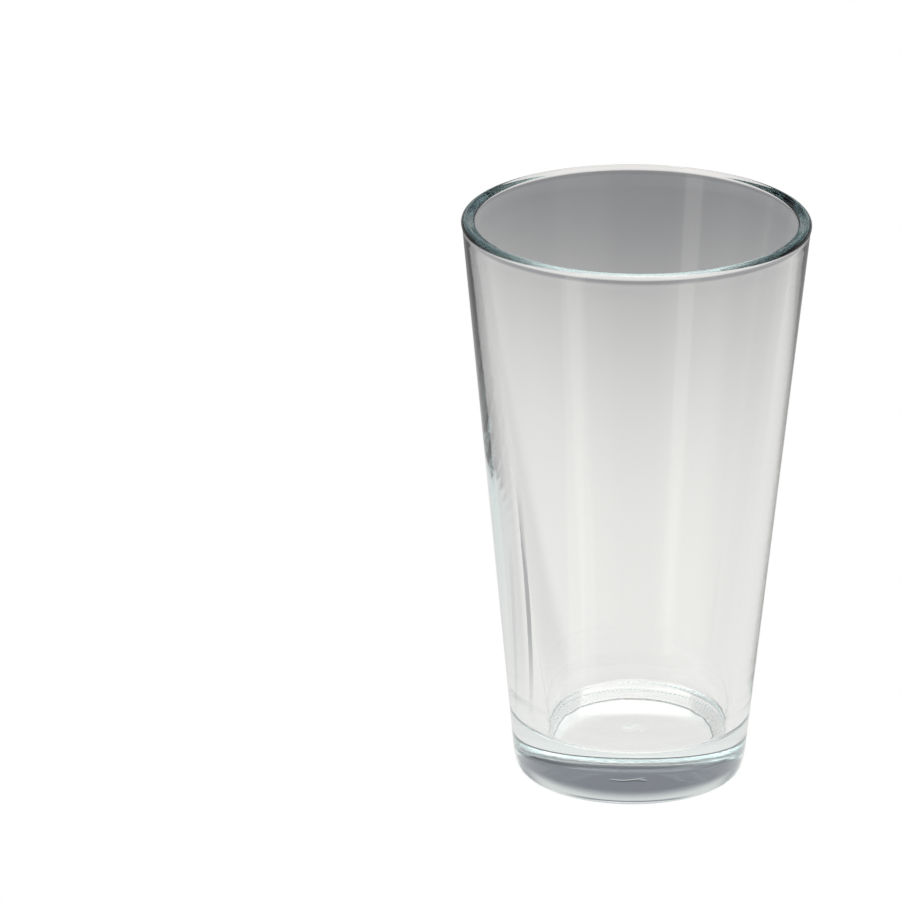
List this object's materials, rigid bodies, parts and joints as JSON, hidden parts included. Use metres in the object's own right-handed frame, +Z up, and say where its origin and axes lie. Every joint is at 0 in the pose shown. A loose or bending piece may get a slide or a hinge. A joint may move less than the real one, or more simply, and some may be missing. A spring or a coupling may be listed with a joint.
{
  "type": "mixing glass",
  "caption": "Clear bar mixing glass: a straight tapered pint tumbler with a beaded lip, a wall that thickens downwards and a thick base with a shallow flat recess underneath.",
  "frame": {"origin": "on the axis of the glass, at the level its foot ring stands on", "axes": "+Z up the axis, from the foot to the mouth; the glass is round, so X and Y are arbitrary"},
  "size_m": [0.0888, 0.0888, 0.1492],
  "materials": {
    "glass": "clear pressed soda-lime glass, fire-polished, faint green-blue tint through its thick parts"
  },
  "bodies": {
    "root": {"glass_body": "glass"}
  },
  "joints": []
}
